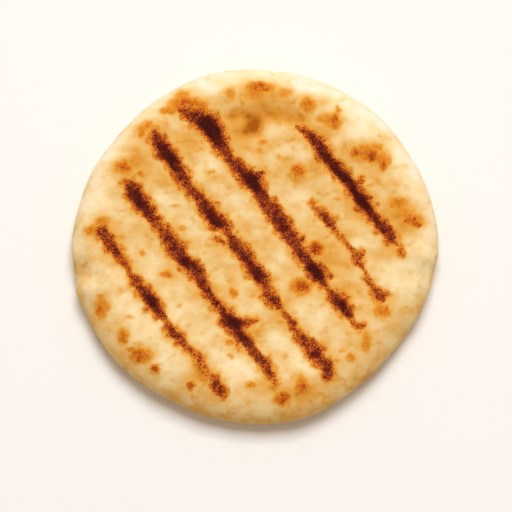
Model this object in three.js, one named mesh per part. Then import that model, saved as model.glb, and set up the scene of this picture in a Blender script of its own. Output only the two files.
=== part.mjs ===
// A griddled pita bread: one thick round of dough, baked in one piece and lying on its flat underside.
// Millimetres, +Z up. The origin is under the middle of the bread, on the surface that it lies on.
import * as THREE from "three";

// Driving sizes
const WIDTH = 165; // side to side, along X
const DEPTH = 162; // front to back, along Y
const THICKNESS = 19; // from the underside to the highest place on the top
const RIM_HEIGHT = 8; // where the rim stands out furthest
const UNDER_CURVE = 12; // how far in the rim curves under before the bread lies flat
const SHOULDER = 16; // how far in the rim curves over before the top is level
const MIDDLE_DIP = 2.2; // how far the middle of the top lies below its shoulder

// How finely the surface is cut: steps around the bread, and along each stretch of its outline
const SPOKES = 108;
const UNDER_STEPS = 8;
const SHOULDER_STEPS = 10;
const TOP_STEPS = 14;

// The round is uneven: each wave pushes the rim out by `swing` at `peak` degrees, and again at each lobe.
const RIM_WAVES = [
  { lobes: 1, swing: 0.6, peak: 166 },
  { lobes: 2, swing: 0.8, peak: 29 },
  { lobes: 4, swing: 0.8, peak: 8 },
  { lobes: 5, swing: 0.3, peak: 63 },
  { lobes: 6, swing: 0.3, peak: 47 },
];

// Swells and hollows of the top, each fading out over its reach
const SWELLS = [
  { x: 6, y: 56, reach: 15, rise: -1.5 },
  { x: 40, y: 40, reach: 20, rise: 0.7 },
  { x: -34, y: 34, reach: 22, rise: 0.5 },
  { x: -52, y: -6, reach: 18, rise: -0.7 },
  { x: 18, y: 8, reach: 24, rise: -0.5 },
  { x: -22, y: -40, reach: 24, rise: 0.7 },
  { x: 34, y: -36, reach: 20, rise: 0.5 },
  { x: 60, y: -8, reach: 16, rise: -0.6 },
];

// Soft folds where the rim has settled, each a shallow groove running down the shoulder
const FOLDS = [
  { angle: 186, spread: 5, depth: 0.8 },
  { angle: 205, spread: 6, depth: 0.4 },
  { angle: 62, spread: 7, depth: 0.5 },
  { angle: 324, spread: 9, depth: 0.7 },
  { angle: 347, spread: 6, depth: 0.7 },
];

// Half of a slice through a perfectly round bread, from the middle of the underside to the middle of the top
function sliceOutline() {
  const rim = WIDTH / 2;
  const flatEdge = rim - UNDER_CURVE;
  const topEdge = rim - SHOULDER;
  const underCurve = new THREE.EllipseCurve(flatEdge, RIM_HEIGHT, UNDER_CURVE, RIM_HEIGHT, -Math.PI / 2, 0);
  const shoulderRise = THICKNESS - RIM_HEIGHT;
  const shoulder = new THREE.EllipseCurve(topEdge, RIM_HEIGHT, SHOULDER, shoulderRise, 0, Math.PI / 2);
  const middle = new THREE.Vector2(0, THICKNESS - MIDDLE_DIP);
  const halfway = new THREE.Vector2(topEdge / 2, THICKNESS - MIDDLE_DIP);
  const top = new THREE.QuadraticBezierCurve(new THREE.Vector2(topEdge, THICKNESS), halfway, middle);
  return [
    new THREE.Vector2(0, 0),
    ...underCurve.getPoints(UNDER_STEPS),
    ...shoulder.getPoints(SHOULDER_STEPS).slice(1),
    ...top.getPoints(TOP_STEPS).slice(1),
  ];
}

// Smallest turn from one angle to another, in degrees, from -180 to 180
function turnBetween(from, to) {
  return THREE.MathUtils.euclideanModulo(to - from + 180, 360) - 180;
}

// 1 at the middle of a bump, fading smoothly to nothing at about twice its reach
function bump(distance, reach) {
  return Math.exp(-((distance / reach) ** 2));
}

function rimWave(angle) {
  const pushes = RIM_WAVES.map(
    ({ lobes, swing, peak }) => swing * Math.cos(THREE.MathUtils.degToRad(lobes * (angle - peak))),
  );
  return pushes.reduce((sum, push) => sum + push, 0);
}

function foldDepth(angle) {
  return FOLDS.reduce(
    (sum, fold) => sum + fold.depth * bump(turnBetween(fold.angle, angle), fold.spread),
    0,
  );
}

function swellHeight(x, y) {
  return SWELLS.reduce(
    (sum, swell) => sum + swell.rise * bump(Math.hypot(x - swell.x, y - swell.y), swell.reach),
    0,
  );
}

// Moves one point of the perfect round to where the real dough lies. The underside stays flat.
function settle(point) {
  const radius = Math.hypot(point.x, point.y);
  const angle = THREE.MathUtils.radToDeg(Math.atan2(point.y, point.x));
  const outward = radius / (WIDTH / 2);
  const upward = point.z / THICKNESS;
  const push = rimWave(angle) * outward ** 2 - foldDepth(angle) * outward ** 6 * upward;
  const stretch = radius > 0 ? (radius + push) / radius : 1;
  point.x *= stretch;
  point.y *= stretch;
  point.z += upward * swellHeight(point.x, point.y);
  return point;
}

// Brings the finished shape to its stated sizes, with the origin under its middle
function fitToSizes(geometry) {
  geometry.computeBoundingBox();
  const size = geometry.boundingBox.getSize(new THREE.Vector3());
  const middle = geometry.boundingBox.getCenter(new THREE.Vector3());
  geometry.translate(-middle.x, -middle.y, -geometry.boundingBox.min.z);
  geometry.scale(WIDTH / size.x, DEPTH / size.y, THICKNESS / size.z);
}

function breadGeometry() {
  const geometry = new THREE.LatheGeometry(sliceOutline(), SPOKES);
  geometry.rotateX(Math.PI / 2);
  const places = geometry.getAttribute("position");
  const point = new THREE.Vector3();
  for (let i = 0; i < places.count; i += 1) {
    point.fromBufferAttribute(places, i);
    settle(point);
    places.setXYZ(i, point.x, point.y, point.z);
  }
  fitToSizes(geometry);
  geometry.computeVertexNormals();
  return geometry;
}

const crust = new THREE.MeshStandardMaterial({ color: 0xf0cf95, roughness: 0.85, metalness: 0 });

const bread = new THREE.Mesh(breadGeometry(), crust);
bread.name = "pita_bread";

const part = new THREE.Group();
part.add(bread);

export default part;
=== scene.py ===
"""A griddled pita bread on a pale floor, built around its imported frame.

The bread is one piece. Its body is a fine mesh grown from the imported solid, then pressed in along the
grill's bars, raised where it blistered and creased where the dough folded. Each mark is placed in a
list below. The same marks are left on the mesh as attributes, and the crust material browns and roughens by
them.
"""

import math

import bpy
import numpy as np
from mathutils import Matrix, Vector, noise


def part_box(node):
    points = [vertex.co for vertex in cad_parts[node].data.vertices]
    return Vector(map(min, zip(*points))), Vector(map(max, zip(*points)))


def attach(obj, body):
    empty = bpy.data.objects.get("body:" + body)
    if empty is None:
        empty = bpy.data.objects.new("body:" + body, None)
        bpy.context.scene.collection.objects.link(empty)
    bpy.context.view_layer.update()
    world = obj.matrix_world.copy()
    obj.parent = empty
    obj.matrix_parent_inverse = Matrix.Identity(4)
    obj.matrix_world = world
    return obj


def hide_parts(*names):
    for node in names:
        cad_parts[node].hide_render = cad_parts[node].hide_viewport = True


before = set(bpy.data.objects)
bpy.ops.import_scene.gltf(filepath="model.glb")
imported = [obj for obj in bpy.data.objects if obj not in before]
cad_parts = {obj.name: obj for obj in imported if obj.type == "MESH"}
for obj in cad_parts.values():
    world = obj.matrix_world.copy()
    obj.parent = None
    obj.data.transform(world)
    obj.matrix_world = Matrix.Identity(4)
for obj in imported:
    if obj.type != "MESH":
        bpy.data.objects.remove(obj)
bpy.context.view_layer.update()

MM = 0.001
BREAD_LOW, BREAD_HIGH = (np.array(corner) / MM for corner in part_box("pita_bread"))
BREAD_WIDTH = BREAD_HIGH[0] - BREAD_LOW[0]
BREAD_HEIGHT = BREAD_HIGH[2]

# ----------------------------------------------------------------------------------------------------------
# Marks on the top, in millimetres from the middle of the bread. Heat runs from 0, pale dough, to 1, black
# char.
# ----------------------------------------------------------------------------------------------------------

# Each bar of the grill left a line: x, y, half the charred width, heat
GRILL_LINES = {
    "first": [
        (-70, 5.5, 1.4, 0.58), (-68, 4.5, 2.4, 0.85), (-65, -0.5, 2.2, 0.82), (-62.5, -4, 2.2, 0.85),
        (-59.5, -8, 2.0, 0.72), (-56.5, -11, 1.4, 0.58), (-55.5, -14.5, 1.4, 0.56), (-52.5, -18, 2.1, 0.8),
        (-49, -23, 2.3, 0.85), (-45.5, -27, 2.9, 1), (-42, -32, 2.0, 0.85), (-39.5, -36, 1.4, 0.59),
        (-37.5, -39.5, 1.8, 0.8), (-33.5, -43.5, 2.0, 0.82), (-30, -47.5, 1.7, 0.61), (-25, -52, 2.1, 0.6),
        (-23.5, -55.5, 2.3, 0.54), (-21, -59, 2.2, 0.44), (-17.5, -62, 2.3, 0.64), (-16.5, -65.5, 2.3, 0.8),
        (-14.5, -67.5, 2.0, 0.72),
    ],
    "second": [
        (-56, 26, 2.6, 0.85), (-54, 22.5, 3.5, 0.95), (-50.5, 17.5, 3.1, 0.98), (-48, 14, 2.4, 0.95),
        (-46, 11, 1.8, 0.84), (-42.5, 7.5, 1.8, 0.66), (-40, 4, 2.3, 0.82), (-37, -1, 3.1, 0.86),
        (-34, -5, 3.2, 0.86), (-32, -8, 2.6, 1), (-28.5, -10, 2.8, 0.95), (-25.5, -13, 2.6, 0.86),
        (-23.5, -18, 2.4, 0.85), (-20.5, -23, 1.8, 0.85), (-18, -26.5, 1.9, 0.85), (-15, -30, 1.6, 0.85),
        (-12.5, -33.5, 2.6, 0.95), (-9.5, -37, 2.9, 1), (-7, -40.5, 2.4, 0.95), (-4.5, -44, 2.2, 0.92),
        (-1.5, -48, 2.2, 0.86), (1, -51, 2.1, 0.85), (4, -54.5, 2.1, 0.8), (6, -57.5, 2.3, 0.72),
        (8, -61, 1.7, 0.64), (9.5, -64, 1.2, 0.58),
    ],
    "second_spur_high": [(-46, 11, 1.4, 0.84), (-43.5, 10.2, 1.1, 0.8), (-41.5, 11.2, 0.8, 0.56)],
    "second_spur_middle": [(-33.5, -3.5, 2.0, 0.84), (-30.5, -2, 1.2, 0.6)],
    "second_spur_low": [
        (-9.5, -36, 2.2, 1), (-5, -36.5, 1.7, 0.86), (-1.5, -36.2, 1.3, 0.69), (0.8, -35.3, 0.9, 0.55),
    ],
    "third": [
        (-45, 50, 1.8, 0.69), (-43.5, 46.5, 2.7, 0.9), (-40.5, 41.5, 3.1, 1), (-37.5, 38, 3.1, 1),
        (-34.5, 33.5, 2.6, 0.92), (-31.5, 28.5, 2.2, 0.84), (-28.5, 24, 2.0, 0.8), (-25.5, 21, 2.2, 0.82),
        (-22.5, 17, 2.9, 0.9), (-19.5, 13, 3.1, 0.97), (-17, 10, 3.1, 0.97), (-14, 8, 2.5, 0.86),
        (-11.5, 4, 1.7, 0.62), (-9.5, 0.5, 2.7, 0.86), (-7, -3, 2.7, 0.88), (-4.5, -6, 2.5, 0.92),
        (-2.5, -8.5, 2.0, 0.85), (0.5, -13, 3.1, 0.97), (3.5, -17, 2.8, 0.9), (5.5, -21, 1.8, 0.66),
        (7, -24, 2.6, 0.8), (9.5, -26.5, 2.1, 0.9), (12, -30.5, 1.4, 0.59), (14.5, -34, 1.5, 0.62),
        (17, -37, 1.8, 0.72), (19, -40, 1.4, 0.62), (21, -43.5, 2.1, 0.85), (23.5, -46.5, 1.9, 0.69),
        (27, -50.5, 2.8, 0.95), (30, -53.5, 2.2, 0.82), (32.5, -56, 2.8, 0.88), (33, -59, 2.2, 0.8),
    ],
    "third_spur_high": [(-17.5, 2.6, 0.8, 0.62), (-15.5, 1.3, 1.2, 0.7), (-13.5, 0, 0.8, 0.6)],
    "third_spur_middle": [(3, -24.5, 1.2, 0.54), (6, -23.5, 1.8, 0.8)],
    "third_spur_low": [(26, -44.5, 1.4, 0.56), (29.5, -48, 1.8, 0.56)],
    "fourth": [
        (-34, 60.5, 1.0, 0.64), (-30.5, 59.5, 2.6, 0.74), (-26, 57, 3.6, 0.9), (-21.5, 54.5, 4.4, 1.05),
        (-18.5, 50.5, 3.8, 1.05), (-16.5, 46.5, 2.7, 0.97), (-13.5, 42.5, 2.2, 0.85), (-11, 38.5, 2.2, 0.82),
        (-7.5, 34, 2.2, 0.88), (-4, 31, 2.4, 0.94), (-1, 28.5, 3.6, 1.08), (1.5, 25, 2.9, 0.97),
        (3.5, 21.5, 2.7, 0.86), (5, 18.5, 2.8, 0.84), (8.5, 14, 3.2, 0.85), (11, 10.5, 3.3, 0.92),
        (13.5, 6.5, 3.1, 0.88), (16.5, 2.5, 2.9, 0.85), (19, -1.5, 2.5, 0.85), (20.5, -4.5, 2.1, 0.86),
        (23.5, -8, 2.2, 0.92), (26.5, -12, 2.9, 1.04), (29, -15.5, 2.7, 0.97), (31, -18.5, 2.0, 0.82),
        (33, -21.5, 1.3, 0.54), (35, -24, 1.9, 0.8), (38.5, -27.5, 2.4, 1), (41.5, -32, 2.0, 0.9),
        (43, -35.5, 1.0, 0.54), (44.5, -38, 1.4, 0.62), (47, -38.5, 1.5, 0.69), (48.6, -38, 0.9, 0.56),
    ],
    "fourth_spur_high": [(-0.5, 30.5, 1.8, 1), (3, 32, 1.1, 0.72)],
    "fourth_spur_middle": [(18.5, -0.5, 1.4, 0.8), (21.5, 2.2, 1.0, 0.62)],
    "fourth_spur_low": [(29, -13, 1.8, 0.8), (33.8, -15, 1.7, 0.6)],
    "fifth": [
        (28, 15.5, 1.4, 0.62), (30.5, 12.5, 1.7, 0.72), (34, 9.5, 2.0, 0.83), (36, 6, 1.2, 0.64),
        (38, 3.5, 1.1, 0.55), (41, 0, 1.2, 0.56), (43.5, -3, 1.2, 0.56), (46.5, -6, 2.3, 0.68),
        (46, -9, 1.9, 0.68), (49.5, -13, 0.8, 0.42), (50.5, -16.5, 1.4, 0.55), (52, -19, 1.4, 0.55),
        (53.5, -21.5, 1.8, 0.62), (56.5, -24.5, 2.6, 0.82), (59, -23.5, 1.6, 0.62),
    ],
    "sixth": [
        (19, 53.5, 0.9, 0.55), (23, 50.5, 1.4, 0.72), (26, 48, 2.0, 0.9), (29, 44, 2.5, 0.92),
        (32, 40, 2.5, 0.93), (35, 36, 2.6, 0.97), (38, 32.5, 2.2, 0.95), (41, 29.5, 2.3, 0.98),
        (44, 25.5, 2.4, 0.97), (46, 22, 2.4, 1), (48, 19, 2.8, 1.08), (50.5, 16.5, 2.3, 1),
        (53, 12.5, 2.0, 0.92), (56, 8.5, 2.0, 0.87), (59.5, 5, 2.5, 0.9), (61.5, 2, 2.1, 0.86),
        (63.5, -0.5, 1.1, 0.62),
    ],
    "sixth_spur": [(48.5, 20, 1.6, 1), (52.5, 20.6, 0.8, 0.66)],
}

# Blisters that touched the hot plate between the bars: x, y, half width, half depth, heat
SCORCH_SPOTS = [
    (-59, 34.5, 3.2, 2.2, 0.55), (-51.5, 31.5, 1.5, 1.2, 0.45), (-50.8, 50.8, 1.8, 3.0, 0.44),
    (-47.5, 53.8, 2.1, 1.9, 0.42), (-73.5, 5.5, 2.2, 2.0, 0.44), (-68.5, 9, 2.8, 2.4, 0.42),
    (-70.5, 5.5, 3.6, 2.8, 0.38), (-68.3, -29.5, 2.8, 4.0, 0.44), (-69, -30.3, 1.4, 0.8, 0.5),
    (-68.5, -24, 1.6, 1.2, 0.38), (-55.5, -34, 1.8, 0.8, 0.33), (-33.5, -29, 1.0, 1.0, 0.32),
    (-58.5, -42.5, 2.0, 3.2, 0.45), (-54.5, -48.5, 1.9, 1.1, 0.5), (-50.5, -51, 3.5, 2.3, 0.56),
    (-51.5, -52.5, 1.2, 1.1, 0.66), (-44, -57, 1.6, 1.4, 0.64), (-28, -64.5, 1.4, 1.4, 0.58),
    (-3, -72, 1.3, 1.8, 0.28), (12.5, -70.3, 2.4, 2.0, 0.62), (21, -64.8, 2.5, 3.2, 0.52),
    (-1.5, -64.5, 2.1, 1.2, 0.42), (-10.5, -51.5, 1.0, 0.9, 0.38), (13.5, -51.5, 1.4, 1.2, 0.3),
    (-11, -45, 1.5, 1.3, 0.46), (-39, -14.5, 2.3, 1.4, 0.48), (-38, -14.5, 0.5, 0.5, 0.66),
    (-50, -4.5, 0.9, 1.3, 0.4), (-32.5, 6.5, 1.9, 1.3, 0.38), (-35.5, 17, 2.0, 0.7, 0.33),
    (-9.5, -22.5, 1.7, 2.0, 0.46), (21, -20, 3.2, 2.6, 0.62), (43, -52, 2.1, 1.6, 0.42),
    (39.5, -49, 1.6, 0.9, 0.32), (49.7, -45, 1.9, 4.2, 0.42), (57, -31.3, 3.3, 2.6, 0.44),
    (58.8, -30, 1.2, 1.2, 0.52), (37.5, 19.8, 2.4, 1.1, 0.34), (19.8, 33.2, 2.8, 2.3, 0.54),
    (26.5, 18.8, 1.7, 1.5, 0.48), (27.6, -2.5, 2.5, 2.2, 0.72), (71, 10, 3.2, 2.2, 0.55),
    (73.6, 8.6, 1.1, 0.9, 0.6), (67.6, 9.6, 0.8, 0.8, 0.56), (64, 18, 3.2, 1.4, 0.43),
    (65.5, -4.5, 1.4, 1.7, 0.6), (48, 28, 1.1, 1.8, 0.56), (46, 41, 2.1, 2.0, 0.54),
    (46.5, 40.5, 0.8, 0.8, 0.66), (53, 39.7, 2.0, 1.8, 0.72), (55.5, 43.8, 2.4, 1.2, 0.4),
    (57.5, 34.8, 1.3, 1.6, 0.6), (60.5, 37, 1.2, 1.6, 0.4), (36, 55.5, 2.2, 2.7, 0.55),
    (38, 60.5, 1.6, 1.6, 0.42), (30.5, 56, 2.6, 1.5, 0.4), (24, 63.5, 2.8, 3.0, 0.46),
    (31, 64.5, 2.6, 2.2, 0.28), (2.5, 71.3, 4.6, 2.2, 0.54), (0.5, 68.5, 5.2, 2.6, 0.4),
    (13.6, 68.5, 3.0, 2.6, 0.36), (-10.8, 68, 2.4, 3.0, 0.36), (-5.5, 64.5, 1.4, 1.6, 0.34),
    (-32.5, 67.5, 3.0, 2.6, 0.4), (-31, 63.5, 5.4, 2.6, 0.55), (-38.5, 60.5, 3.2, 1.6, 0.46),
    (-24.5, 62, 3.0, 2.6, 0.5), (-20, 32.3, 1.9, 0.9, 0.38), (5.5, 32.6, 1.4, 0.7, 0.42),
    (11, 39, 1.6, 1.4, 0.3), (16.5, 47.3, 2.4, 0.9, 0.33), (3.5, 46.3, 2.2, 1.1, 0.42),
    (2.5, 43, 1.3, 1.6, 0.36), (-44, 28.3, 2.3, 0.7, 0.3), (-34.5, 46, 1.5, 0.9, 0.34),
    (50, 41, 5.4, 3.0, 0.47), (57.5, 37.5, 2.8, 3.8, 0.44), (34.5, 56, 4.4, 3.0, 0.39),
    (64.5, 18, 4.4, 2.5, 0.41), (67, 13.5, 4.6, 3.4, 0.38), (1, 69.5, 6.5, 3.4, 0.36),
]

# Broad areas that browned more (above 0) or less (below 0) than the dough round them, and one patch of
# painted shade in the hollow of the left fold: x, y, half width, half depth, strength
TOASTED_AREAS_AND_PAINTED_SHADE = [
    (1.2, 54.5, 4.2, 5.2, 0.28), (-4, 51, 7, 6, 0.3), (55, 26, 7, 4, 0.05), (66, 13, 7, 5.5, 0.38),
    (-56, 36, 7, 8, 0.25), (33, -5, 4.5, 6, 0.3), (-23, -58, 6, 6, 0.55), (30, -63, 8, 3.5, 0.15),
    (3, 66, 12, 6, 0.2), (50, 40, 7, 5, 0.25), (-68, 6, 6, 4, 0.25), (16, -66, 12, 5, 0.2),
    (44, -42, 7, 8, 0.1), (-31, 70, 5, 3, 0.25), (-50, 50, 4, 5, 0.35), (28, 50, 7, 5, 0.4),
    (30, 36, 5, 6, 0.2), (-42, 31, 10, 6, 0.2), (-52, 19, 5, 5, 0.25), (43, 18, 6, 6, 0.2),
    (46, 8, 6, 5, 0.12), (20, 0, 5, 5, 0.2), (61, 0, 5, 6, 0.35), (-60, -11, 6, 6, 0.35),
    (19, -11, 6, 5, 0.05), (45, -9, 8, 5, 0.15), (-22, -21, 6, 5, 0.25), (6, -20, 6, 6, 0.2),
    (42, -21, 10, 5, 0.18), (-14, -31, 6, 5, 0.2), (11, -30, 5, 6, 0.3), (-8, -40, 6, 5, 0.25),
    (31, -50, 4, 6, 0.3), (-52, -50, 6, 5, 0.3), (-28, 44, 6, 6, 0.15), (8, 57, 14, 2.4, 0.08),
    (-19, 37.5, 6, 3.5, -0.25), (-9, -57, 9, 5, -0.38), (-45, -8.5, 5, 5, -0.15), (9.5, 51.5, 5, 3, -0.2),
    (63, -15, 10, 6, -0.25), (72, -2, 7, 7, -0.2), (-70, 18, 8, 5, -0.1), (12, -6.5, 4.5, 3, -0.2),
    (12, -15, 5, 5, -0.15), (-33, -58, 5, 4, -0.3), (-50, -40, 7, 6, -0.25), (20, -52, 10, 7, -0.3),
    (-68, -15, 8, 6, -0.2), (-24, -40, 6, 6, -0.3), (22, 42, 4, 4, -0.15), (32, -38, 6, 5, -0.2),
    (46, 51, 8, 5, -0.3), (12, 20, 18, 6, -0.15), (0, 1, 5, 4, 0.1), (-55, -29, 12, 5, -0.3),
    (-35, -31, 6, 5, -0.35), (-30, 10, 5, 5, -0.2), (-58, 10, 8, 4, -0.2), (62, -20, 6, 4, -0.2),
    (10, -42, 6, 4, -0.2), (22, 71, 6, 3, -0.35), (36, 60, 7, 4, -0.2), (60, 49, 5, 4, 0.3),
    (20, 31, 5, 4, 0.35), (-40, 20, 4, 4, -0.3), (-41, 9, 3, 3, 0.2), (71, 5, 5, 4.5, 0.3),
    (0, -10, 4, 4, 0.25), (0, -30, 5, 4, -0.25), (1, -40, 5, 4, 0.3), (-41, -50, 5, 5, -0.3),
    (-19, -51, 4, 4, -0.2), (50, -60, 5, 4, 0.2), (18, -68, 7, 4, 0.2), (10, 69, 4, 4, 0.35),
    # The first area on the next line is painted shade in the hollow of the left fold.
    (-78, -11, 4, 3.6, 0.38), (-60, -12, 5, 5, -0.3), (50, 0, 5, 5, -0.2), (61, 41, 4, 4, -0.2),
    (51, 21, 4, 4, 0.2), (40, -67, 6, 4, -0.15), (-9, -60, 4, 3, -0.2), (40, 0, 4, 4, -0.2),
    (26, -30, 6, 4, -0.25), (50, 12, 4, 4, 0.15), (-50, 11, 4, 4, 0.25), (-10, 20, 4, 4, -0.2),
    (60, -46, 8, 6, -0.1), (-17, 71, 5, 3, -0.2), (-55, -58, 12, 8, -0.14), (-10, 51, 5, 4, 0.25),
    (25, -60, 8, 4, -0.15), (20, 70, 6, 4, -0.12),
]

# Creases in the dough: x, y, half width, depth
CREASES = {
    "top": [
        (-16, 58, 2.2, 0.5), (-8, 58.6, 2.6, 0.8), (0, 58.4, 3.0, 1.0), (8, 59, 3.0, 1.0),
        (16, 57.5, 2.8, 1.0), (22, 56.5, 2.4, 0.6),
    ],
    "top_branch": [(0, 58, 3.2, 0.9), (0.8, 54, 3.0, 0.9), (2, 50, 2.2, 0.4)],
    "left": [(-86, -13.5, 5.0, 1.0), (-79, -14, 4.6, 2.2), (-72, -15, 2.8, 1.2), (-67, -16, 2.0, 0.0)],
    "left_edge": [(-80, -8, 1.6, 0.3), (-76, -11, 1.6, 0.8), (-72, -13.5, 1.6, 0.9), (-68, -15.5, 1.4, 0.0)],
    "right": [(84, -10, 3.5, 0.5), (78, -12.5, 3.5, 1.0), (71, -14, 3.0, 0.6), (62, -12.5, 2.2, 0.0)],
    "right_low": [(78, -36, 3.0, 0.8), (68, -40, 3.2, 0.7), (58, -46, 2.8, 0.3)],
    "low": [(40, -74, 3.0, 0.6), (32, -68, 3.0, 0.3)],
    "high_left": [(-66, 50, 2.6, 0.4), (-58, 44, 2.6, 0.2)],
}

# Soft swells between the creases: x, y, half width, height
SWELLS = {
    "left": [(-86, -23, 3.6, 0.6), (-76, -21.5, 3.6, 1.2), (-67, -20.5, 3.2, 0.7)],
    "left_high": [(-84, -2, 4.0, 0.3), (-74, -6.5, 3.0, 0.5), (-68, -10, 2.4, 0.2)],
    "right": [(84, -6, 4.0, 0.6), (75, -6, 4.0, 1.2), (67, -6.5, 3.0, 0.5)],
    "top": [(-18, 66, 5.0, 0.5), (2, 68, 6.0, 0.8), (22, 66, 5.0, 0.5)],
}

# All of the marks together lie this much to the left of, and in front of, where the lists put them
MARKS_LEFT = 0.3
MARKS_FORWARD = 0.85

GROOVE_DEPTH = 0.55
BLISTER_HEIGHT = 0.35


def smooth_step(low, high, value):
    share = np.clip((value - low) / (high - low), 0.0, 1.0)
    return share * share * (3.0 - 2.0 * share)


def fade(away, half):
    """1 at the middle of a mark, a half just past its half width and almost nothing at twice that."""
    return 1.0 / (1.0 + (away / half / 1.1) ** 4.6)


def soft_fade(away, half):
    """As fade, but without an edge: it falls off evenly from the middle outwards."""
    return np.exp(-0.7 * (away / half) ** 2)


def glow(away, half):
    """The golden rim round a charred line, which fades out over about 4 mm past the line's edge."""
    return np.exp(-(np.maximum(away - half, 0.0) / 3.3) ** 1.2)


def scorch(away, half):
    """A scorched blister: browned in the middle and soft gold well past its half width."""
    return 1.0 / (1.0 + (away / half / 1.6) ** 2.5)


def along_line(x, y, line, falloff):
    """The strength that a line of (x, y, half width, strength) points leaves at each place."""
    strongest = np.zeros_like(x)
    for (x0, y0, half0, strength0), (x1, y1, half1, strength1) in zip(line, line[1:]):
        step_x, step_y = x1 - x0, y1 - y0
        share = ((x - x0) * step_x + (y - y0) * step_y) / (step_x**2 + step_y**2)
        share = np.clip(share, 0.0, 1.0)
        away = np.hypot(x - x0 - share * step_x, y - y0 - share * step_y)
        half = half0 + share * (half1 - half0)
        strength = strength0 + share * (strength1 - strength0)
        strongest = np.maximum(strongest, strength * falloff(away, half))
    return strongest


def at_spot(x, y, spot, falloff):
    """The strength that one oval (x, y, half width, half depth, strength) leaves at each place."""
    middle_x, middle_y, half_x, half_y, strength = spot
    return strength * falloff(np.hypot((x - middle_x) / half_x, (y - middle_y) / half_y), 1.0)


def cloud(points, size, seed):
    """Soft noise from about -1 to 1, whose lumps are about `size` millimetres across."""
    shift = Vector((seed * 17.3, seed * 9.1, seed * 5.7))
    roughness, finer_each_time, octaves = 0.8, 2.0, 2
    return np.array(
        [noise.fractal(Vector(p) / size + shift, roughness, finer_each_time, octaves) for p in points]
    )


# ----------------------------------------------------------------------------------------------------------
# The bread's body
# ----------------------------------------------------------------------------------------------------------

VOXEL = 1.5  # the size of the squares that the body is first cut into, before each is split in four


def grown_body(cad_node):
    """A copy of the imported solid, cut into even squares and smoothed, so that no facet of it shows."""
    body = bpy.data.objects.new("bread", cad_node.data.copy())
    bpy.context.scene.collection.objects.link(body)
    body.data.materials.clear()
    remesh = body.modifiers.new("even squares", "REMESH")
    remesh.mode = "VOXEL"
    remesh.voxel_size = VOXEL * MM
    soften = body.modifiers.new("soften", "SMOOTH")
    soften.factor = 0.5
    soften.iterations = 12
    split = body.modifiers.new("split", "SUBSURF")
    split.levels = 1
    depsgraph = bpy.context.evaluated_depsgraph_get()
    mesh = bpy.data.meshes.new_from_object(body.evaluated_get(depsgraph))
    body.modifiers.clear()
    body.data = mesh
    mesh.shade_smooth()
    return body


def vertex_points(mesh):
    flat = np.empty(len(mesh.vertices) * 3, dtype=np.float32)
    mesh.vertices.foreach_get("co", flat)
    return flat.reshape(-1, 3).astype(float) / MM


def vertex_normals(mesh):
    flat = np.empty(len(mesh.vertices) * 3, dtype=np.float32)
    mesh.vertex_normals.foreach_get("vector", flat)
    return flat.reshape(-1, 3).astype(float)


def keep_on_mesh(mesh, name, values):
    attribute = mesh.attributes.new(name, "FLOAT", "POINT")
    attribute.data.foreach_set("value", values.astype(np.float32))


def fitted(points):
    """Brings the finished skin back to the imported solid's own width and depth."""
    low, high = points.min(0), points.max(0)
    size = BREAD_HIGH - BREAD_LOW
    for side in (0, 1):
        share = (points[:, side] - low[side]) / (high[side] - low[side])
        points[:, side] = BREAD_LOW[side] + share * size[side]
    return points


def wandering(points):
    """Each place's x and y, moved a little in lumps, so that the marks' edges come out uneven."""
    x, y = points[:, 0] + MARKS_LEFT, points[:, 1] + MARKS_FORWARD
    x = x + 0.5 * cloud(points, size=3.2, seed=1) + 0.3 * cloud(points, size=1.5, seed=2)
    y = y + 0.5 * cloud(points, size=3.2, seed=3) + 0.3 * cloud(points, size=1.5, seed=4)
    return x, y


def strongest_line(x, y, lines, falloff):
    """The strength that the nearest of several lines leaves at each place."""
    strongest = np.zeros_like(x)
    for line in lines.values():
        strongest = np.maximum(strongest, along_line(x, y, line, falloff))
    return strongest


def grilled(points, mark_x, mark_y):
    """The heat of the grill lines and scorched spots, their grain, and where they groove or blister."""
    heat = strongest_line(mark_x, mark_y, GRILL_LINES, fade)
    heat *= 1.0 + 0.12 * cloud(points, size=3.0, seed=10)
    groove = smooth_step(0.42, 0.8, heat)
    golden_rim = strongest_line(mark_x, mark_y, GRILL_LINES, glow)
    golden_rim *= np.clip(0.56 + 0.42 * cloud(points, size=4.0, seed=9), 0.2, 0.9)
    heat = np.maximum(heat, golden_rim)
    grain = smooth_step(0.2, 0.5, heat) * (1.0 - 0.9 * smooth_step(0.81, 0.97, heat))

    spot_x = mark_x + 0.9 * cloud(points, size=2.4, seed=13)
    spot_y = mark_y + 0.9 * cloud(points, size=2.4, seed=14)
    spots = np.zeros_like(heat)
    for spot in SCORCH_SPOTS:
        spots = np.maximum(spots, at_spot(spot_x, spot_y, spot, scorch))
    grain = np.maximum(grain, 0.55 * smooth_step(0.2, 0.6, spots))
    blister = spots * (1.0 - groove)
    return np.maximum(heat, spots), grain, groove, blister


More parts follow.
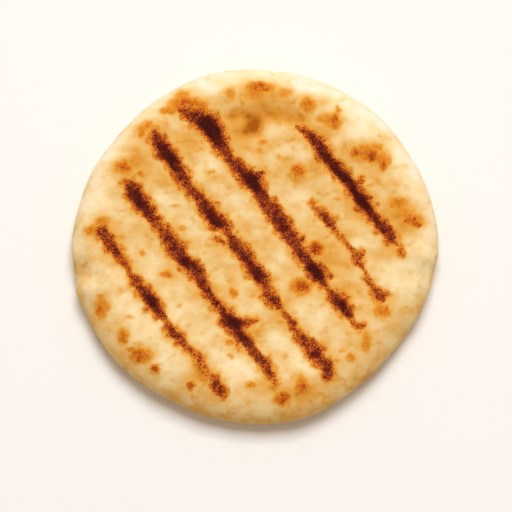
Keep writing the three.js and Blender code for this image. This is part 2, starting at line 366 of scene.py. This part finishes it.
def browning_and_painted_light(points, mark_x, mark_y, crease, wall):
    """Browning of the dough between the marks: pale and floury at the rim, golden in the middle. It also
    holds
    painted light: a painted highlight on the back rim, and painted shade on the front rim and in the far
    crease.
    """
    x, y = points[:, 0], points[:, 1]
    radius = np.hypot(x, y)
    inner = smooth_step(80.0, 66.0, radius)
    # The rim grows paler towards the back: a painted highlight where the lamp falls on the far rim.
    toast_and_painted_light = 0.29 + 0.14 * inner - 0.22 * (1.0 - inner) * smooth_step(-20.0, 50.0, y)
    for area in TOASTED_AREAS_AND_PAINTED_SHADE:
        toast_and_painted_light += 0.7 * at_spot(mark_x, mark_y, area, soft_fade)
    # Painted shade: the crease near the far rim is browned as if its valley lay in shadow.
    painted_crease_shade = crease * smooth_step(30.0, 45.0, y) * smooth_step(40.0, 25.0, np.abs(x))
    # Painted shade: the front rim, whose wall turns away from the lamp, is made more golden.
    painted_front_rim_shade = smooth_step(66.0, 80.0, radius) * smooth_step(0.0, -50.0, y)
    toast_and_painted_light += 0.24 * painted_crease_shade
    toast_and_painted_light += 0.05 * wall + 0.14 * painted_front_rim_shade
    return toast_and_painted_light


def risen(points, groove, blister, folds, wall, facing_up):
    """Height changes, in millimetres along the surface's own direction."""
    height = 0.55 * cloud(points, size=26.0, seed=5)
    height += 0.30 * cloud(points, size=11.0, seed=6)
    height += 0.10 * cloud(points, size=4.0, seed=7)
    upright = np.array([0.3, 0.3, 1.0])
    height += 0.16 * cloud(points * upright, size=3.0, seed=15) * wall
    height += BLISTER_HEIGHT * blister
    height -= GROOVE_DEPTH * groove * facing_up
    height += 0.16 * cloud(points, size=1.8, seed=8) * groove * facing_up
    height += folds * smooth_step(5.0, 10.0, points[:, 2])
    return height


def bread_piece():
    body = grown_body(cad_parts["pita_bread"])
    mesh = body.data
    points = fitted(vertex_points(mesh))
    normals = vertex_normals(mesh)

    # Each of these is 1 where its name is true and 0 where it isn't
    facing_up = smooth_step(0.1, 0.55, normals[:, 2])
    underneath = smooth_step(-0.35, -0.8, normals[:, 2])
    wall = (1.0 - smooth_step(0.0, 0.8, normals[:, 2])) * (1.0 - underneath)
    above_floor = smooth_step(0.2, 3.0, points[:, 2])

    mark_x, mark_y = wandering(points)
    heat, grain, groove, blister = grilled(points, mark_x, mark_y)
    crease = strongest_line(mark_x, mark_y, CREASES, soft_fade)
    swell = strongest_line(points[:, 0], points[:, 1], SWELLS, soft_fade)
    toast_and_painted_light = browning_and_painted_light(points, mark_x, mark_y, crease, wall)

    # The underside has soft blotches where it touched the griddle
    blotches = smooth_step(0.25, 0.95, cloud(points, size=9.0, seed=12))
    toast_and_painted_light += underneath * (0.1 + 0.2 * cloud(points, size=12.0, seed=11))
    heat = np.maximum(heat * facing_up, underneath * blotches * 0.6)

    height = risen(points, groove, blister, swell - crease, wall, facing_up)
    points += normals * (height * above_floor)[:, None]
    points[:, 2] = np.maximum(points[:, 2], 0.0)
    points = fitted(points)

    mesh.vertices.foreach_set("co", (points * MM).astype(np.float32).ravel())
    mesh.update()
    keep_on_mesh(mesh, "bread_heat", heat)
    keep_on_mesh(mesh, "bread_grain", grain)
    keep_on_mesh(mesh, "bread_toast_and_painted_light", toast_and_painted_light)
    add_flat_layout(mesh, points)
    return body


def add_flat_layout(mesh, points):
    """Lays the crust out flat: the top, the side wall opened out round it, and the underside beside it."""
    pivot_radius = BREAD_WIDTH / 2 - 14.0
    pivot_height = BREAD_HEIGHT * 0.45
    wall_reach = 12.0
    under_scale = 0.8
    top_reach = pivot_radius + wall_reach * math.pi + 1.0
    under_reach = (pivot_radius + 3.0) * under_scale
    side = (top_reach + under_reach) * (1.0 + math.sqrt(0.5))

    x, y, z = points.T
    radius = np.maximum(np.hypot(x, y), 1e-6)
    turn = np.arctan2(radius - pivot_radius, z - pivot_height)
    opened = np.where(radius > pivot_radius, pivot_radius + wall_reach * turn, radius)
    top_layout = np.stack([x, y], 1) * (opened / radius)[:, None] + top_reach
    under_layout = side - under_reach + np.stack([-x, y], 1) * under_scale

    corners = np.empty(len(mesh.loops), dtype=np.int32)
    mesh.loops.foreach_get("vertex_index", corners)
    starts = np.empty(len(mesh.polygons), dtype=np.int32)
    mesh.polygons.foreach_get("loop_start", starts)
    counts = np.empty(len(mesh.polygons), dtype=np.int32)
    mesh.polygons.foreach_get("loop_total", counts)
    below = ((radius < pivot_radius) & (z < pivot_height)).astype(float)
    share_below = np.add.reduceat(below[corners], starts) / counts
    corner_below = np.repeat(share_below > 0.99, counts)
    layout = np.where(corner_below[:, None], under_layout[corners], top_layout[corners]) / side
    uv_map = mesh.uv_layers.new(name="OFBake")
    uv_map.uv.foreach_set("vector", layout.astype(np.float32).ravel())


# ----------------------------------------------------------------------------------------------------------
# The crust material
# ----------------------------------------------------------------------------------------------------------


def colour(red, green, blue):
    """A screen colour, 0 to 255 each, as the linear values that Blender works in."""
    screen = np.array([red, green, blue]) / 255
    linear = np.where(screen <= 0.04045, screen / 12.92, ((screen + 0.055) / 1.055) ** 2.4)
    return (*linear.tolist(), 1.0)


class Wiring:
    """Adds nodes to one tree and joins them up."""

    def __init__(self, tree):
        self.tree = tree

    def node(self, kind, **settings):
        made = self.tree.nodes.new(kind)
        for name, value in settings.items():
            setattr(made, name, value)
        return made

    def set(self, socket, value):
        if isinstance(value, bpy.types.NodeSocket):
            self.tree.links.new(value, socket)
        elif value is not None:
            socket.default_value = value

    def maths(self, operation, a, b=None, c=None):
        made = self.node("ShaderNodeMath", operation=operation)
        for socket, value in zip(made.inputs, (a, b, c)):
            self.set(socket, value)
        return made.outputs[0]

    def noise(self, place, scale, detail, roughness):
        made = self.node("ShaderNodeTexNoise")
        self.set(made.inputs["Vector"], place)
        made.inputs["Scale"].default_value = scale
        made.inputs["Detail"].default_value = detail
        made.inputs["Roughness"].default_value = roughness
        return made.outputs["Fac"]

    def fit(self, value, from_low, from_high, to_low=0.0, to_high=1.0, smooth=True):
        made = self.node("ShaderNodeMapRange")
        made.interpolation_type = "SMOOTHSTEP" if smooth else "LINEAR"
        self.set(made.inputs["Value"], value)
        made.inputs["From Min"].default_value = from_low
        made.inputs["From Max"].default_value = from_high
        made.inputs["To Min"].default_value = to_low
        made.inputs["To Max"].default_value = to_high
        return made.outputs["Result"]

    def ramp(self, value, stops):
        made = self.node("ShaderNodeValToRGB")
        self.set(made.inputs["Fac"], value)
        steps = made.color_ramp.elements
        while len(steps) < len(stops):
            steps.new(1.0)
        for step, (position, shade) in zip(steps, stops):
            step.position = position
            step.color = shade
        return made.outputs["Color"]

    def blend(self, share, first, second, way="MIX"):
        made = self.node("ShaderNodeMix", data_type="RGBA", blend_type=way)
        self.set(made.inputs["Factor"], share)
        shades = {socket.name: socket for socket in made.inputs if socket.type == "RGBA"}
        self.set(shades["A"], first)
        self.set(shades["B"], second)
        return next(socket for socket in made.outputs if socket.type == "RGBA")


TOASTING = [
    (0.00, colour(251, 231, 208)),
    (0.20, colour(241, 217, 168)),
    (0.40, colour(230, 195, 132)),
    (0.60, colour(223, 166, 80)),
    (0.80, colour(208, 137, 42)),
    (1.00, colour(166, 88, 14)),
]
BROWNING = [
    (0.00, colour(236, 200, 124)),
    (0.22, colour(228, 178, 95)),
    (0.34, colour(220, 147, 46)),
    (0.46, colour(205, 116, 22)),
    (0.58, colour(180, 74, 14)),
    (0.71, colour(142, 46, 16)),
    (0.84, colour(106, 29, 14)),
    (1.00, colour(62, 14, 8)),
]


def crust_material():
    material = bpy.data.materials.new("baked crust")
    material.use_nodes = True
    tree = material.node_tree
    wiring = Wiring(tree)
    shader = tree.nodes["Principled BSDF"]
    place = wiring.node("ShaderNodeTexCoord").outputs["Object"]
    heat = wiring.node("ShaderNodeAttribute", attribute_name="bread_heat").outputs["Fac"]
    loose = wiring.node("ShaderNodeAttribute", attribute_name="bread_grain").outputs["Fac"]
    toast_and_painted_light = wiring.node("ShaderNodeAttribute", attribute_name="bread_toast_and_painted_light").outputs["Fac"]

    # Lumps of about 8 mm, wider than deep, and of 2 mm and 0.5 mm
    stretched = wiring.node("ShaderNodeMapping")
    wiring.set(stretched.inputs["Vector"], place)
    stretched.inputs["Scale"].default_value = (0.9, 1.1, 1.0)
    mottle = wiring.noise(stretched.outputs["Vector"], 130.0, 2.0, 0.5)
    ragged = wiring.noise(place, 480.0, 3.0, 0.6)
    grain = wiring.noise(place, 2000.0, 1.0, 0.6)

    # The dough between the marks, from pale to golden, with faint golden flecks
    patches = wiring.fit(mottle, 0.34, 0.66, -0.09, 0.13, smooth=False)
    flecks = wiring.noise(stretched.outputs["Vector"], 230.0, 1.0, 0.5)
    flecks = wiring.fit(flecks, 0.56, 0.76, 0.0, 0.14)
    golden = wiring.maths("ADD", wiring.maths("ADD", toast_and_painted_light, patches), flecks)
    dough = wiring.ramp(golden, TOASTING)

    # The browned and charred marks, broken up into grains where they are neither pale nor black
    coarse = wiring.maths("MULTIPLY_ADD", ragged, 1.1, -0.55)
    stir = wiring.maths("MULTIPLY_ADD", grain, 1.5, -0.75)
    stir = wiring.maths("ADD", stir, coarse)
    grainy_heat = wiring.maths("MULTIPLY_ADD", stir, loose, heat)
    least_heat = wiring.fit(heat, 0.2, 0.9, 0.2, 0.56, smooth=False)
    grainy_heat = wiring.maths("MAXIMUM", grainy_heat, least_heat)
    browned = wiring.ramp(grainy_heat, BROWNING)
    # Light pinkish specks in the grainy char: painted glints.
    painted_glints = wiring.fit(wiring.noise(place, 2300.0, 1.0, 0.6), 0.58, 0.67, 0.0, 0.75)
    painted_glints = wiring.maths("MULTIPLY", painted_glints, loose)
    browned = wiring.blend(painted_glints, browned, colour(224, 128, 72))
    browned = wiring.blend(1.0, browned, dough, "DARKEN")
    shown = wiring.fit(heat, 0.08, 0.34)
    wiring.set(shader.inputs["Base Color"], wiring.blend(shown, dough, browned))

    rough = wiring.fit(grainy_heat, 0.2, 1.0, 0.85, 0.7)
    wiring.set(shader.inputs["Roughness"], rough)
    shader.inputs["Specular IOR Level"].default_value = 0.04
    shader.inputs["Subsurface Weight"].default_value = 0.15
    shader.inputs["Subsurface Radius"].default_value = (1.0, 0.5, 0.2)
    shader.inputs["Subsurface Scale"].default_value = 2.0 * MM

    bump = wiring.node("ShaderNodeBump")
    fine_relief = wiring.maths("MULTIPLY", grain, wiring.fit(heat, 0.2, 0.8, 0.25, 0.9))
    relief = wiring.maths("ADD", wiring.maths("MULTIPLY", ragged, 0.5), fine_relief)
    wiring.set(bump.inputs["Height"], relief)
    bump.inputs["Strength"].default_value = 0.5
    bump.inputs["Distance"].default_value = 0.4 * MM
    wiring.set(shader.inputs["Normal"], bump.outputs["Normal"])
    return material


# ----------------------------------------------------------------------------------------------------------
# The stage: floor, light and camera
# ----------------------------------------------------------------------------------------------------------


def floor_material():
    material = bpy.data.materials.new("pale floor")
    material.use_nodes = True
    shader = material.node_tree.nodes["Principled BSDF"]
    shader.inputs["Base Color"].default_value = colour(240, 238, 234)
    shader.inputs["Roughness"].default_value = 0.9
    shader.inputs["Specular IOR Level"].default_value = 0.2
    return material


def add_floor():
    half = 3.0
    height = -0.1 * MM
    mesh = bpy.data.meshes.new("floor")
    corners = [(-half, -half, height), (half, -half, height), (half, half, height), (-half, half, height)]
    mesh.from_pydata(corners, [], [(0, 1, 2, 3)])
    floor = bpy.data.objects.new("floor", mesh)
    bpy.context.scene.collection.objects.link(floor)
    mesh.materials.append(floor_material())


def add_soft_light(name, direction, distance, size, power, tint):
    """A square lamp that faces the bread from the given direction."""
    lamp = bpy.data.lights.new(name, "AREA")
    lamp.shape = "SQUARE"
    lamp.size = size
    lamp.energy = power
    lamp.color = tint
    holder = bpy.data.objects.new(name, lamp)
    towards = Vector(direction).normalized()
    holder.location = towards * distance
    holder.rotation_euler = towards.to_track_quat("Z", "Y").to_euler()
    bpy.context.scene.collection.objects.link(holder)


def light_stage():
    add_soft_light(
        "window", direction=(0.06, 0.5, 1.0), distance=3.0, size=1.5, power=81.0, tint=(0.93, 0.95, 1.0)
    )
    world = bpy.data.worlds.new("room")
    bpy.context.scene.world = world
    world.use_nodes = True
    world.node_tree.nodes["Background"].inputs["Color"].default_value = (1.0, 0.86, 0.7, 1.0)
    world.node_tree.nodes["Background"].inputs["Strength"].default_value = 0.44
    bpy.context.scene.view_settings.view_transform = "Standard"


def add_camera():
    """Looks down on the bread from the front, ten degrees off straight down."""
    elevation = math.radians(80.0)
    distance = 1.15
    aim = Vector((0.5, -5.5, BREAD_HEIGHT / 2)) * MM
    camera = bpy.data.cameras.new("camera")
    camera.lens = 180.0
    camera.sensor_width = 36.0
    holder = bpy.data.objects.new("camera", camera)
    back = Vector((0.0, -math.cos(elevation), math.sin(elevation)))
    holder.location = aim + back * distance
    holder.rotation_euler = back.to_track_quat("Z", "Y").to_euler()
    bpy.context.scene.collection.objects.link(holder)
    bpy.context.scene.camera = holder


add_camera()
light_stage()
add_floor()

bread = bread_piece()
bread.data.materials.append(crust_material())
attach(bread, "root")
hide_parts("pita_bread")
